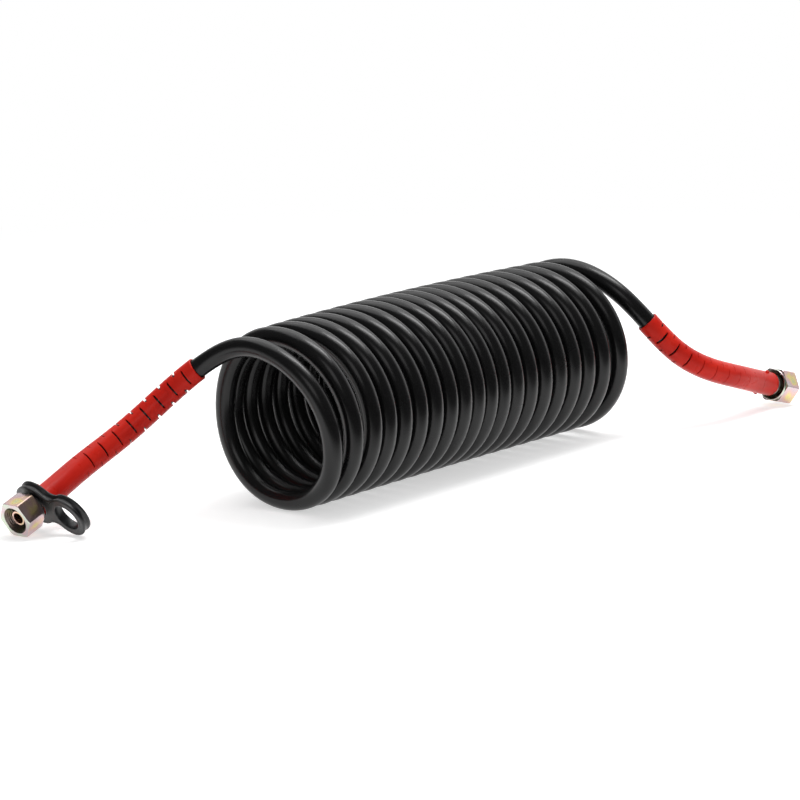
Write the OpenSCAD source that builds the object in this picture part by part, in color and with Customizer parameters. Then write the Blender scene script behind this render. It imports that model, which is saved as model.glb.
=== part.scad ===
// Coiled air brake hose for a towed vehicle: a wound polyamide tube with a swivel fitting on each end.
// The coil lies along X, the near end is at -X, and the floor that it lies on is z = 0.
// Fittings are drawn on their own axis: z = 0 is the nut's mouth, +Z runs back into the hose, +X is down.

/* [Hose] */
// Outside diameter of the tube
tube_d = 12; // [11:0.5:12.5]
// Wall of the tube
tube_wall = 1.5; // [1:0.1:2]

/* [Coil] */
// Mean radius of the winding at mid-length
coil_r = 50.2; // [46:0.2:56]
// Number of turns, the near tail's half turn included
coil_turns = 20; // [12:1:24]
// Mean distance from one turn to the next
coil_pitch = 14.5; // [14.3:0.1:18]
// How far the turns bunch and spread along the coil
coil_drift = 2; // [0:0.1:2.2]
// How far the top of each turn leans towards the near end
coil_lean = 3; // [0:0.1:4]
// How far the last three turns draw apart towards the far end
far_spread = 14; // [0:0.5:18]
// How far the first turn's front is pulled towards the near end
near_pull = 6.5; // [0:0.5:7]
// How far the first turn's back is drawn in
near_tuck = 4; // [0:0.5:5]
// How much less the end turns' radius is than the middle's
coil_barrel = 1; // [0:0.1:2]
// How far the coil's ends stand forward of its middle
coil_bow = 2.2; // [0:0.1:4]
// Depth of the flat that the turns stand on
coil_flat = 1.2; // [0.6:0.1:1.5]

/* [Kink sleeve] */
// Distance from the hose's end to the sleeve's coil end
sleeve_len = 138.6; // [115:0.1:150]
// Distance from the hose's end to the sleeve's nut end
sleeve_set = 6.3; // [4:0.1:8]
// Outside diameter at the coil end
sleeve_d_coil = 14.5; // [14.2:0.1:16]
// Outside diameter at the nut end
sleeve_d_nut = 15.6; // [15.4:0.1:17]
// Gap between the tube and the sleeve
sleeve_gap = 0.3; // [0.25:0.05:0.4]
// Number of slot pairs along each pair of sides
slot_rows = 8; // [4:1:8]
// Distance from one slot pair to the next
slot_pitch = 11.4; // [9:0.1:12]
// Distance from the coil end to the first slots
slot_first = 7.6; // [5:0.1:9]
// Width of a slot
slot_w = 1.1; // [0.6:0.1:1.6]
// Angle that a slot spans round the sleeve
slot_angle = 94; // [70:1:110]
// Side of the near sleeve that the first slots face, counted from straight down
near_slot_side = -124; // [-150:1:-90]
// Side of the far sleeve that the first slots face
far_slot_side = 155; // [130:1:175]
// Diameter of a nib
nib_d = 2.8; // [1.5:0.1:3]
// Height of a nib above the sleeve
nib_h = 1.3; // [0.5:0.1:1.5]
// Distance of the nibs behind the nut
nib_back = 12.7; // [12:0.1:15]

/* [Union nut] */
// Width across the flats
nut_af = 21; // [20.8:0.1:24]
// Length of the hexagon
hex_len = 13.6; // [13.4:0.1:16]
// Length of the round collar behind the hexagon
collar_len = 1.4; // [1:0.1:2]
// Diameter of the round collar
collar_d = 20.8; // [20:0.1:21]
// How much wider the end faces are than the flats, up to the chamfer on the corners
face_over = 1.8; // [0.8:0.1:2.2]
// Nominal diameter of the thread
thread_d = 16; // [15.6:0.1:16.6]
// Pitch of the thread
thread_pitch = 1.5; // [1:0.25:1.75]
// Length of the thread
thread_len = 7.2; // [6:0.1:7.4]
// Length of the relief behind the thread
relief_len = 1.2; // [1:0.1:1.4]
// Thickness of the web that pulls on the nipple's collar
web_t = 1.8; // [1.5:0.1:2]
// Diameter of the pocket that takes the hose and the sleeve
pocket_d = 18.4; // [17.8:0.1:18.8]

/* [Nipple] */
// Distance of the nipple's nose behind the nut's mouth
nose_back = 3; // [2:0.1:3.2]
// Diameter of the nose
nose_d = 9.8; // [9.4:0.1:10.4]
// Half angle of the sealing cone
cone_angle = 12; // [10:0.5:14]
// Diameter of the bore through the nipple
nipple_bore = 7; // [5.5:0.1:7.2]
// Diameter of the collar that the nut pulls on
nipple_collar_d = 13.9; // [13.5:0.1:13.9]
// Thickness of that collar
nipple_collar_t = 1.6; // [1.2:0.1:1.8]
// Diameter of the neck through the web
neck_d = 11.2; // [10.6:0.1:11.4]
// Radial clearance between the neck and the web
neck_fit = 0.08; // [0.04:0.01:0.1]
// Distance of the hose's end behind the web
hose_set = 1.5; // [1.2:0.1:2]
// Length of the stem in the hose
stem_len = 19; // [15:0.5:20]
// Number of barbs on the stem
barbs = 4; // [2:1:6]
// Depth of a barb
barb_h = 0.3; // [0.1:0.05:0.4]

/* [Ferrule] */
// Wall of the pressed ferrule
ferrule_wall = 0.7; // [0.5:0.05:0.8]
// Length of the ferrule
ferrule_len = 17; // [13:0.5:18]
// Number of grooves that the press leaves
crimps = 3; // [2:1:5]
// Depth of those grooves
crimp_depth = 0.2; // [0.1:0.05:0.3]

/* [Sealing ring] */
// Thickness of the ring
seal_t = 1.5; // [1.2:0.1:1.7]
// Distance of the ring behind the nose
seal_back = 1.9; // [1.7:0.1:2.1]
// How far the ring stands out of the cone
seal_proud = 0.35; // [0.2:0.05:0.5]

/* [Holding tab] */
// Distance from the nut to the tab's front, on the hose's axis
tab_set = 2.8; // [2.6:0.1:3.4]
// How far the tab tilts up from square to the hose
tab_tilt = 12.1; // [6:0.1:12.6]
// How far the tab turns sideways from square to the hose
tab_turn = 4.9; // [0:0.1:6]
// Thickness of the tab
tab_t = 5.8; // [5:0.1:6]
// Gap between the sleeve and the tab's ring
tab_gap = 0.4; // [0.3:0.05:0.6]
// Width of the ring round the sleeve
tab_ring_w = 5.8; // [4.5:0.1:6.2]
// Diameter of the eyelet's hole
eyelet_d = 17.3; // [14:0.1:19]
// Width of the eyelet's ring
eyelet_w = 4.7; // [3.5:0.1:4.8]
// Distance between the centres of the two rings
eyelet_reach = 25.5; // [24:0.1:32]
// Depth of the channel round the outside
channel_depth = 1.2; // [0.6:0.1:1.8]
// Thickness of the flanges beside the channel
flange_t = 1.4; // [1:0.1:1.8]
// Radius of the fillets between the rings
tab_fillet = 7.6; // [6:0.1:7.6]

/* [Lie of the ends] */
// Distance along X from the coil's near end to the near nut's mouth
near_reach = 141.8; // [136:0.1:160]
// Distance along X from the coil's far end to the far nut's mouth
far_reach = 140.8; // [136:0.1:160]
// Distance of the near nut's mouth to the back of the coil's axis
near_side = 85.8; // [78:0.2:94]
// Distance of the far nut's mouth to the front of the coil's axis
far_side = 79.9; // [72:0.1:88]
// How steeply the near fitting slopes to the floor
near_slope = 19.9; // [17:0.1:23]
// How steeply the far fitting slopes to the floor
far_slope = 15.7; // [13:0.1:19]
// Direction of the near hose behind its nut, seen from above
near_heading = -2.7; // [-7:0.1:1]
// Direction of the far hose behind its nut, seen from above
far_heading = 175.4; // [171:0.1:179]
// Angle of the eyelet from straight down
eyelet_angle = -81.5; // [-96:0.5:-81]

/* [Hidden] */
$fn = 64;
// Rings in a loop, sides of the coil's tube, sides of the tails and sleeves, rings in a stretch of tail
loop_rings = 24;
loop_sides = 6;
tail_sides = 12;
tail_steps = 2;
tube_r = tube_d / 2;
// The six-sided tube goes round the real one
loop_r = tube_r / cos(180 / loop_sides);
axis_z = coil_r + loop_r - coil_flat;
// The coil starts half a turn on, where the near tail leaves it at the bottom
near_turn = 0.5;
mid_turn = floor(coil_turns / 2) + 0.5;
// Straight run of the hose behind its end, and the clearances inside a fitting
end_run = 22;
part_gap = 0.05;
// Places along a fitting, from the nut's mouth back
web_front = thread_len + relief_len;
web_back = web_front + web_t;
nut_len = hex_len + collar_len;
hose_start = web_back + hose_set;
ferrule_start = hose_start + 0.5;
tab_front = nut_len + tab_set;
tab_hole_r = sleeve_d_nut / 2 + tab_gap;
bore_r = tube_r - tube_wall;
ferrule_r = tube_r + part_gap;
sleeve_bore_r = ferrule_r + ferrule_wall + 2 * part_gap;
floor_gap = 0.02;
// Way of each tail from the coil to its nut: X is measured outward from the coil's end
near_way = [[6.4, -43, 26], [14.8, -50, 54], [19.6, -41, 80], [21.4, -17, 98], [21.7, 11.3, 103.2],
    [25.4, 36.3, 90], [37.8, 55.8, 70.6], [59.3, 70.6, 49], [86.5, 81.8, 33.3]];
far_way = [[4.4, -45, 88], [15.1, -59, 67.2], [30.1, -68.6, 48], [52.7, -77.3, 35.4], [80.8, -81.3, 27.2]];
black = [0.07, 0.07, 0.075];
red = [0.78, 0.09, 0.08];
zinc = [0.78, 0.74, 0.55];
steel = [0.72, 0.71, 0.69];
rubber = [0.1, 0.1, 0.1];

function unit(v) = v / norm(v);
function from_middle(turn) = (turn - coil_turns / 2) / (coil_turns / 2);
function winding_r(turn) = coil_r - coil_barrel * pow(from_middle(turn), 2);
function pulled(turn) = turn > 0.75 && turn < 1.5 ? pow(sin(240 * (turn - 0.75)), 2) : 0;
function tucked(turn) = turn < 1 ? pow(sin(360 * (turn - 0.5)), 2) : 0;
function drawn(turn) = turn > coil_turns - 3 ? pow((turn - coil_turns + 3) / 3, 2) : 0;
function wound(turn) = [
    coil_pitch * turn - coil_drift * sin(720 * turn / coil_turns) - coil_lean * cos(360 * turn)
        - near_pull * pulled(turn) + far_spread * drawn(turn),
    -winding_r(turn) * sin(360 * turn) - coil_bow * pow(from_middle(turn), 2) - near_tuck * tucked(turn),
    winding_r(turn) * cos(360 * turn) + winding_r(turn) - coil_r + axis_z];
origin_x = wound(mid_turn)[0];
origin_y = wound(mid_turn)[1];
function coil_point(turn) = wound(turn) - [origin_x, origin_y, 0];
function outward(turn) = [0, -sin(360 * turn), cos(360 * turn)];

// Points along the coil, from the near end to the far end
coil_path = [for (k = [0 : round((coil_turns - near_turn) * loop_rings)])
    coil_point(near_turn + k / loop_rings)];

// A ring of points round c, square to the tangent t, whose first point lies towards n
function ring(c, t, n, r, sides, turn = 0) = let (u = unit(n - (n * t) * t), v = cross(t, u))
    [for (k = [0 : sides - 1]) let (a = turn + 360 * k / sides) c + r * (cos(a) * u + sin(a) * v)];
// The directions of a path: square to its first and last stretch, halfway between stretches elsewhere
function directions(p) = let (last = len(p) - 1)
    [for (i = [0 : last]) i == 0 ? unit(p[1] - p[0]) : i == last ? unit(p[last] - p[last - 1])
        : unit(unit(p[i + 1] - p[i]) + unit(p[i] - p[i - 1]))];
// Normals that follow a path without twisting
function normals(t, first) = [for (i = 0, n = unit(first - (first * t[0]) * t[0]); i < len(t);
    i = i + 1, n = i < len(t) ? unit(n - (n * t[i]) * t[i]) : n) n];
function flat_list(lists) = [for (l = lists) for (e = l) e];
// Two triangles for each side between ring i and the next, inward or outward
function skin(rings, sides, base = 0) = [for (i = [0 : rings - 2]) for (k = [0 : sides - 1])
    let (a = base + i * sides + k, b = base + i * sides + (k + 1) % sides)
    for (f = [[a, b, b + sides], [a, b + sides, a + sides]]) f];
function cap(sides, base) = [for (k = [1 : sides - 2]) [base, base + k + 1, base + k]];
function reversed(faces) = [for (f = faces) [f[2], f[1], f[0]]];

// A solid tube through a list of rings
module tube(rings, sides) {
    last = (len(rings) - 1) * sides;
    polyhedron(points = flat_list(rings),
        faces = concat(reversed(skin(len(rings), sides)), reversed(cap(sides, 0)), cap(sides, last)),
        convexity = 10);
}

// Everything below the floor
module below_floor() {
    translate([-600, -600, -20]) cube([1200, 1200, 20]);
}

module coil() {
    t = directions(coil_path);
    rings = [for (i = [0 : len(coil_path) - 1])
        ring(coil_path[i], t[i], outward(near_turn + i / loop_rings), loop_r, loop_sides)];
    color(black) difference() {
        tube(rings, loop_sides);
        below_floor();
    }
}

// A point of a smooth curve guided by four points, u = 0 to 1 along its stretch
function guided(c, i, u) = (pow(1 - u, 3) * c[i] + (3 * pow(u, 3) - 6 * u * u + 4) * c[i + 1]
    + (-3 * pow(u, 3) + 3 * u * u + 3 * u + 1) * c[i + 2] + pow(u, 3) * c[i + 3]) / 6;
// Guide point on the coil's own turn, the given angle past one of its ends
lead = 26;
lead_k = 3 / (2 + cos(lead));
function lead_point(turn, angle, x) = let (r = lead_k * winding_r(turn), a = 360 * turn + angle)
    [x, -coil_bow * pow(from_middle(turn), 2) - origin_y - r * sin(a),
        winding_r(turn) - coil_r + axis_z + r * cos(a)];
function leave(turn, way) = let (x0 = coil_point(turn)[0], x1 = coil_point(turn + way * lead / 360)[0])
    [lead_point(turn, way * lead, x1), lead_point(turn, 0, x0), lead_point(turn, -way * lead, 2 * x0 - x1)];

// A fitting's place: the middle of its mouth, and its direction back into the hose
near_x = coil_point(near_turn)[0];
far_x = coil_point(coil_turns)[0];
function rise(slope) = nut_af / 2 * cos(slope) + floor_gap;
near_mouth = [near_x - near_reach, near_side, rise(near_slope)];
far_mouth = [far_x + far_reach, -far_side, rise(far_slope)];
function back(slope, heading) = [cos(heading) * cos(slope), sin(heading) * cos(slope), sin(slope)];
function down(slope, heading) = [cos(heading) * sin(slope), sin(heading) * sin(slope), -cos(slope)];
near_back = back(near_slope, near_heading);
far_back = back(far_slope, far_heading);

// A tail's path from the nut to the coil: a straight run, then the guided curve taken backwards
function tail_path(guides, e, b) = let (c = concat(guides, [e + end_run * b, e, e - end_run * b]))
    concat([e, e + end_run * b], [for (i = [len(c) - 5 : -1 : 0]) for (k = [tail_steps - 1 : -1 : 0])
        guided(c, i, k / tail_steps)]);
near_path = tail_path(concat(leave(near_turn, 1), [for (p = near_way) [near_x - p[0], p[1], p[2]]]),
    near_mouth + hose_start * near_back, near_back);
far_path = tail_path(concat(leave(coil_turns, -1), [for (p = far_way) [far_x + p[0], p[1], p[2]]]),
    far_mouth + hose_start * far_back, far_back);
// Directions along a tail, with the coil's own direction where the two meet
coil_last = len(coil_path) - 1;
function tail_directions(p, into) = let (t = directions(p))
    [for (i = [0 : len(p) - 1]) i == len(p) - 1 ? unit(into) : t[i]];
near_t = tail_directions(near_path, coil_path[1] - coil_path[0]);
far_t = tail_directions(far_path, coil_path[coil_last - 1] - coil_path[coil_last]);
near_n = normals(near_t, down(near_slope, near_heading));
far_n = normals(far_t, down(far_slope, far_heading));

// Least distance between the surfaces of two pieces of hose that aren't neighbours
function least(a, b, skip, r) = min([for (i = [0 : len(a) - 1]) for (j = [0 : len(b) - 1])
    if (skip == 0 || j >= i + skip) norm(a[i] - b[j]) - r]);
away = [for (i = [8 : coil_last - 8]) coil_path[i]];
near_away = [for (i = [0 : len(near_path) - 6]) near_path[i]];
far_away = [for (i = [0 : len(far_path) - 6]) far_path[i]];
echo(least_gap_between_turns = least(coil_path, coil_path, 12, tube_d));
echo(least_gap_near_tail_to_coil = least(near_away, coil_path, 0, tube_r + loop_r));
echo(least_gap_far_tail_to_coil = least(far_away, coil_path, 0, tube_r + loop_r));
echo(least_gap_near_end_to_coil = least(near_path, away, 0, tube_d));
echo(least_gap_far_end_to_coil = least(far_path, away, 0, tube_d));
echo(near_tail_length = run(near_path)[len(near_path) - 1]);
echo(far_tail_length = run(far_path)[len(far_path) - 1]);
echo(coil_length = run(coil_path)[coil_last]);
echo(near_mouth = near_mouth, far_mouth = far_mouth);

// Length of a path up to each of its points
function run(p) = [for (i = 0, s = 0; i < len(p);
    i = i + 1, s = i < len(p) ? s + norm(p[i] - p[i - 1]) : s) s];
function mix(a, b, f) = (1 - f) * a + f * b;

// Puts a fitting's piece in its place
module at_near() {
    translate(near_mouth) rotate([0, 90 - near_slope, near_heading]) children();
}
module at_far() {
    translate(far_mouth) rotate([0, 90 - far_slope, far_heading]) children();
}

module tail(p, t, n) {
    tube([for (i = [0 : len(p) - 1]) ring(p[i], t[i], n[i], tube_r, tail_sides)], tail_sides);
}
// The hose's bore, as far as the nipple's stem goes in
module stem_bore() {
    translate([0, 0, hose_start - 1]) cylinder(r = bore_r, h = stem_len + 2);
}

module near_tail() {
    color(black) difference() {
        tail(near_path, near_t, near_n);
        at_near() stem_bore();
        below_floor();
    }
}

module far_tail() {
    color(black) difference() {
        tail(far_path, far_t, far_n);
        at_far() stem_bore();
    }
}

// Rings of a sleeve from the nut end, of the radius r0 at the nut end and r1 at the coil end
function sleeve_rings(p, t, n, r0, r1) = let (s = run(p),
    last = max([for (i = [0 : len(p) - 1]) if (s[i] < sleeve_len - 2) i]),
    f = (sleeve_len - s[last]) / (s[last + 1] - s[last]),
    rings = [for (i = [0 : last + 1])
        ring(p[i], t[i], n[i], mix(r0, r1, min(1, s[i] / sleeve_len)), tail_sides)])
    concat([for (i = [0 : last]) rings[i]],
        [[for (k = [0 : tail_sides - 1]) mix(rings[last][k], rings[last + 1][k], f)]]);
// The same rings carried on past both ends, for the hole
function moved(points, d) = [for (q = points) q + d];
function longer(rings) = let (m = len(rings) - 1)
    [for (i = [0 : m]) i == 0 ? moved(rings[0], unit(rings[0][0] - rings[1][0]))
        : i == m ? moved(rings[m], unit(rings[m][0] - rings[m - 1][0])) : rings[i]];

// One pair of slots, cut across the hose at the length s from the nut end
module slot_pair(p, t, n, s, side) {
    l = run(p);
    i = max([for (j = [0 : len(p) - 2]) if (l[j] <= s) j]);
    f = (s - l[i]) / (l[i + 1] - l[i]);
    c = mix(p[i], p[i + 1], f);
    w = unit(p[i + 1] - p[i]);
    u0 = mix(n[i], n[i + 1], f);
    u = unit(u0 - (u0 * w) * w);
    v = cross(w, u);
    r = mix(sleeve_d_nut, sleeve_d_coil, s / sleeve_len) / 2;
    inner = r * cos(slot_angle / 2);
    multmatrix([[u[0], v[0], w[0], c[0]], [u[1], v[1], w[1], c[1]], [u[2], v[2], w[2], c[2]], [0, 0, 0, 1]])
        for (m = [side, side + 180]) rotate([0, 0, m]) translate([inner, -r, -slot_w / 2])
            cube([r, 2 * r, slot_w]);
}

module sleeve_body(p, t, n, side) {
    difference() {
        tube(sleeve_rings(p, t, n, sleeve_d_nut / 2, sleeve_d_coil / 2), tail_sides);
        tube(longer(sleeve_rings(p, t, n, tube_r + sleeve_gap, tube_r + sleeve_gap)), tail_sides);
        for (k = [0 : slot_rows - 1]) {
            slot_pair(p, t, n, sleeve_len - slot_first - k * slot_pitch, side);
            slot_pair(p, t, n, sleeve_len - slot_first - (k + 0.5) * slot_pitch, side + 90);
        }
    }
}
// The sleeve's wider bore over the ferrule, and what is cut off before its nut end
module sleeve_hollow() {
    translate([0, 0, hose_start - 1]) cylinder(r = sleeve_bore_r / cos(180 / tail_sides),
        h = ferrule_start + ferrule_len + 1.5 - hose_start, $fn = tail_sides);
    translate([0, 0, hose_start - 1]) cylinder(r = sleeve_d_nut, h = sleeve_set + 1);
}
module nibs(side) {
    foot = tube_r + sleeve_gap + 0.3;
    for (m = [side, side + 180]) rotate([0, 0, m]) translate([foot, 0, nut_len + nib_back])
        rotate([0, 90, 0]) cylinder(d = nib_d, h = sleeve_d_nut / 2 + nib_h - foot, $fn = 24);
}

module near_sleeve() {
    color(red) difference() {
        union() {
            sleeve_body(near_path, near_t, near_n, near_slot_side);
            at_near() nibs(near_slot_side + 90);
        }
        at_near() sleeve_hollow();
    }
}

module far_sleeve() {
    color(red) difference() {
        union() {
            sleeve_body(far_path, far_t, far_n, far_slot_side);
            at_far() nibs(far_slot_side);
        }
        at_far() sleeve_hollow();
    }
}

// Nut: a hexagon with chamfered corners, a round collar behind it, and stepped holes through both
module union_nut() {
    half = nut_af / 2;
    corner = half / cos(30);
    face_r = half + face_over / 2;
    thread_r = (thread_d - thread_pitch) / 2;
    relief_r = thread_d / 2 + 0.2;
    web_r = neck_d / 2 + neck_fit;
    pocket_r = pocket_d / 2;
    slope = tan(30);
    difference() {
        union() {
            intersection() {
                rotate([0, 0, 30]) cylinder(r = corner, h = hex_len, $fn = 6);
                rotate_extrude() polygon([[0, 0], [face_r, 0], [corner + 1, (corner + 1 - face_r) * slope],
                    [corner + 1, hex_len - (corner + 1 - face_r) * slope], [face_r, hex_len], [0, hex_len]]);
            }
            rotate_extrude() polygon([[0, hex_len - 1], [collar_d / 2, hex_len - 1],
                [collar_d / 2, nut_len - 0.5], [collar_d / 2 - 0.5, nut_len], [0, nut_len]]);
        }
        rotate_extrude() polygon([[0, -1], [thread_d / 2 + 1.3, -1],
            [thread_r, thread_d / 2 + 0.3 - thread_r], [thread_r, thread_len], [relief_r, thread_len],
            [relief_r, web_front], [web_r, web_front], [web_r, web_back], [pocket_r, web_back],
            [pocket_r, nut_len - 0.6], [pocket_r + 0.6, nut_len], [pocket_r + 0.6, nut_len + 1],
            [0, nut_len + 1]]);
    }
}

module near_nut() {
    color(zinc) at_near() union_nut();
}

module far_nut() {
    color(zinc) at_far() union_nut();
}

// Nipple: sealing cone, the collar that the nut pulls on, a neck and a barbed stem
module nipple() {
    collar_back = web_front - part_gap;
    collar_front = collar_back - nipple_collar_t;
    cone_r = nose_d / 2 + (collar_front - nose_back) * tan(cone_angle);
    stem_r = bore_r - part_gap;
    step = stem_len / barbs;
    seal_at = nose_back + seal_back;
    groove_r = nose_d / 2 + seal_back * tan(cone_angle) + seal_proud - seal_t - part_gap;
    difference() {
        rotate_extrude() polygon(concat([[nipple_bore / 2, nose_back], [nose_d / 2 - 0.4, nose_back],
            [nose_d / 2, nose_back + 0.4], [cone_r, collar_front], [nipple_collar_d / 2, collar_front],
            [nipple_collar_d / 2, collar_back], [neck_d / 2, collar_back], [neck_d / 2, hose_start],
            [stem_r - barb_h, hose_start]],
            flat_list([for (k = [0 : barbs - 1]) let (z = hose_start + k * step)
                [[stem_r - barb_h, z + 0.1], [stem_r, z + 0.4], [stem_r - barb_h, z + step - 0.1]]]),
            [[stem_r - barb_h, hose_start + stem_len], [nipple_bore / 2, hose_start + stem_len]]));
        rotate_extrude() translate([groove_r, seal_at - seal_t / 2 - 2 * part_gap])
            square([6, seal_t + 4 * part_gap]);
    }
}

module near_nipple() {
    color(steel) at_near() nipple();
}

module far_nipple() {
    color(steel) at_far() nipple();
}

// Ferrule: a thin tube pressed on round the hose, with the press's grooves
module ferrule() {
    difference() {
        translate([0, 0, ferrule_start]) cylinder(r = ferrule_r + ferrule_wall, h = ferrule_len);
        translate([0, 0, ferrule_start - 1]) cylinder(r = ferrule_r, h = ferrule_len + 2);
        for (k = [1 : crimps]) translate([0, 0, ferrule_start + k * ferrule_len / (crimps + 1) - 1])
            difference() {
                cylinder(r = ferrule_r + ferrule_wall + 1, h = 2);
                translate([0, 0, -1]) cylinder(r = ferrule_r + ferrule_wall - crimp_depth, h = 4);
            }
    }
}

module near_ferrule() {
    color(steel) at_near() ferrule();
}

module far_ferrule() {
    color(steel) at_far() ferrule();
}

// Ring that seals the cone in the counterpart
module seal() {
    seal_r = nose_d / 2 + seal_back * tan(cone_angle) + seal_proud - seal_t / 2;
    translate([0, 0, nose_back + seal_back]) rotate_extrude() translate([seal_r, 0])
        circle(d = seal_t, $fn = 32);
}

module near_seal() {
    color(rubber) at_near() seal();
}

module far_seal() {
    color(rubber) at_far() seal();
}

// Outline of the tab, drawn in by the depth d: two discs and the fillets between them
module tab_outline(d) {
    r1 = tab_hole_r + tab_ring_w - d;
    r2 = eyelet_d / 2 + eyelet_w - d;
    f = tab_fillet + d;
    x = (pow(eyelet_reach, 2) + pow(r1 + f, 2) - pow(r2 + f, 2)) / (2 * eyelet_reach);
    y = sqrt(pow(r1 + f, 2) - x * x);
    e = [eyelet_reach, 0];
    circle(r = r1);
    translate([eyelet_reach, 0]) circle(r = r2);
    difference() {
        polygon([[0, 0], r1 / (r1 + f) * [x, y], [x, y], e + r2 / (r2 + f) * ([x, y] - e), e,
            e + r2 / (r2 + f) * ([x, -y] - e), [x, -y], r1 / (r1 + f) * [x, -y]]);
        for (m = [-1, 1]) translate([x, m * y]) circle(r = f);
    }
}

// The tab hangs on the sleeve, tilted; its ring's hole runs along the hose
module tab() {
    color(black) at_near() difference() {
        translate([0, 0, tab_front]) rotate([tab_turn, -tab_tilt, 0]) rotate([0, 0, eyelet_angle])
            difference() {
                union() {
                    linear_extrude(flange_t) tab_outline(0);
                    translate([0, 0, 0.5]) linear_extrude(tab_t - 1) tab_outline(channel_depth);
                    translate([0, 0, tab_t - flange_t]) linear_extrude(flange_t) tab_outline(0);
                }
                translate([eyelet_reach, 0, -1]) cylinder(d = eyelet_d, h = tab_t + 2);
            }
        translate([0, 0, tab_front - 6]) cylinder(r = tab_hole_r, h = tab_t + 12);
    }
}

coil();
near_tail();
far_tail();
near_sleeve();
far_sleeve();
near_nut();
far_nut();
near_nipple();
far_nipple();
near_ferrule();
far_ferrule();
near_seal();
far_seal();
tab();
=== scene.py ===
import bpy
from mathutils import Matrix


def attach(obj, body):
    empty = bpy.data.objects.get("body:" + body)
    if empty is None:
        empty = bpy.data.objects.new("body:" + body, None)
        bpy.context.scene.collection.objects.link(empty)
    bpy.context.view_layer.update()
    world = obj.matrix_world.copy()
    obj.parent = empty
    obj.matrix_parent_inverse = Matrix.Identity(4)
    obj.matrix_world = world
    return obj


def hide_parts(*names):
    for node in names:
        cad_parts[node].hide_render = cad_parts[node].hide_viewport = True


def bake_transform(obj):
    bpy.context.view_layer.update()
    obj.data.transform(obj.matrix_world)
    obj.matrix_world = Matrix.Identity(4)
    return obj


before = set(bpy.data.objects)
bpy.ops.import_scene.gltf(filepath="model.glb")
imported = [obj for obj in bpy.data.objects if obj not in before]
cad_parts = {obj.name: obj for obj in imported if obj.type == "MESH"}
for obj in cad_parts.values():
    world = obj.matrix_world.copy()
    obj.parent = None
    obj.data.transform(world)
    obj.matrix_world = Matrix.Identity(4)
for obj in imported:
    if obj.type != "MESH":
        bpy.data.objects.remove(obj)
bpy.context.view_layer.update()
import math
import bpy
import bmesh
import numpy as np
from mathutils import Matrix, Vector

# ---------------------------------------------------------------------------------------------
# Camera: a long lens 2.5 m away, off the coil's near end and a little above it.
def put_in_scene(name, data):
    thing = bpy.data.objects.new(name, data)
    bpy.context.scene.collection.objects.link(thing)
    return thing


camera_data = bpy.data.cameras.new("camera")
camera_data.lens, camera_data.sensor_width = 182.95, 36.0
camera_data.clip_start, camera_data.clip_end = 0.1, 20.0
camera = put_in_scene("camera", camera_data)
eye = Vector((-1.97529, -1.48327, 0.51976))
ahead = Vector((0.7807711, 0.5952594, -0.1899018))
rightward = Vector((0.6027951, -0.7975991, -0.0217657))
upward = Vector((0.1644218, 0.0974778, 0.9815618))
camera.matrix_world = Matrix.Translation(eye) @ Matrix((rightward, upward, -ahead)).transposed().to_4x4()
bpy.context.scene.camera = camera

# ---------------------------------------------------------------------------------------------
# Hose: one length of 12 x 1.5 mm black polyamide tube. It is wound hot on a mandrel, so its turns
# keep their size, and a tail is left free at each end. The turns drift a little along the coil.
MM = 0.001
TUBE_D, BORE_D = 12.0, 9.0
COIL_R, COIL_PITCH, COIL_TURNS = 50.2, 14.5, 20
# The turns bunch and spread, get a little smaller towards the ends, and bow to one side
DRIFT, BARREL, BOW = 2.0, 1.0, 2.2
# Each turn leans, the first is pulled out between two places and tucked in, and the last ones spread
LEAN, NEAR_PULL, PULL_FROM, PULL_TO, NEAR_TUCK = 3.0, 6.5, 0.75, 1.5, 4.0
FAR_SPREAD, SPREAD_TURNS = 14.0, 3
NEAR_TURN, MID_TURN = 0.5, 10.5
# The axis lies as high as the solid's six-sided turns hold it, which are flattened where they rest
REST_FLAT = 1.2
AXIS_Z = COIL_R + TUBE_D / 2 / math.cos(math.pi / 6) - REST_FLAT


def off_middle(turn):
    return (turn - COIL_TURNS / 2) / (COIL_TURNS / 2)


def winding_r(turn):
    return COIL_R - BARREL * off_middle(turn) ** 2


def wound(turn):
    """A point of the coil, x counted from its near end."""
    a = 2 * math.pi * turn
    pulled = 0.0
    if PULL_FROM < turn < PULL_TO:
        pulled = math.sin(math.pi * (turn - PULL_FROM) / (PULL_TO - PULL_FROM)) ** 2
    tucked = math.sin(a - math.pi) ** 2 if turn < 1 else 0.0
    drawn = max(0.0, (turn - COIL_TURNS + SPREAD_TURNS) / SPREAD_TURNS) ** 2
    return np.array([COIL_PITCH * turn - DRIFT * math.sin(2 * a / COIL_TURNS) - LEAN * math.cos(a)
                     - NEAR_PULL * pulled + FAR_SPREAD * drawn,
                     -winding_r(turn) * math.sin(a) - BOW * off_middle(turn) ** 2 - NEAR_TUCK * tucked,
                     winding_r(turn) * (math.cos(a) + 1) - COIL_R + AXIS_Z])


coil_origin = wound(MID_TURN) * (1, 1, 0)


def coil_point(turn):
    return wound(turn) - coil_origin


# A guided curve runs inside its guides, so those that lead off the coil lie a little outside the turn
LEAD = 26.0
LEAD_OUT = 3 / (2 + math.cos(math.radians(LEAD)))


def lead_point(turn, angle, x):
    r, a = LEAD_OUT * winding_r(turn), 2 * math.pi * turn + math.radians(angle)
    return [x, -BOW * off_middle(turn) ** 2 - coil_origin[1] - r * math.sin(a),
            winding_r(turn) - COIL_R + AXIS_Z + r * math.cos(a)]


def leave(turn, way):
    """The three guides that take a tail off the coil at one of its ends."""
    x0, x1 = coil_point(turn)[0], coil_point(turn + way * LEAD / 360)[0]
    return [lead_point(turn, way * LEAD, x1), lead_point(turn, 0, x0),
            lead_point(turn, -way * LEAD, 2 * x0 - x1)]


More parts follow.
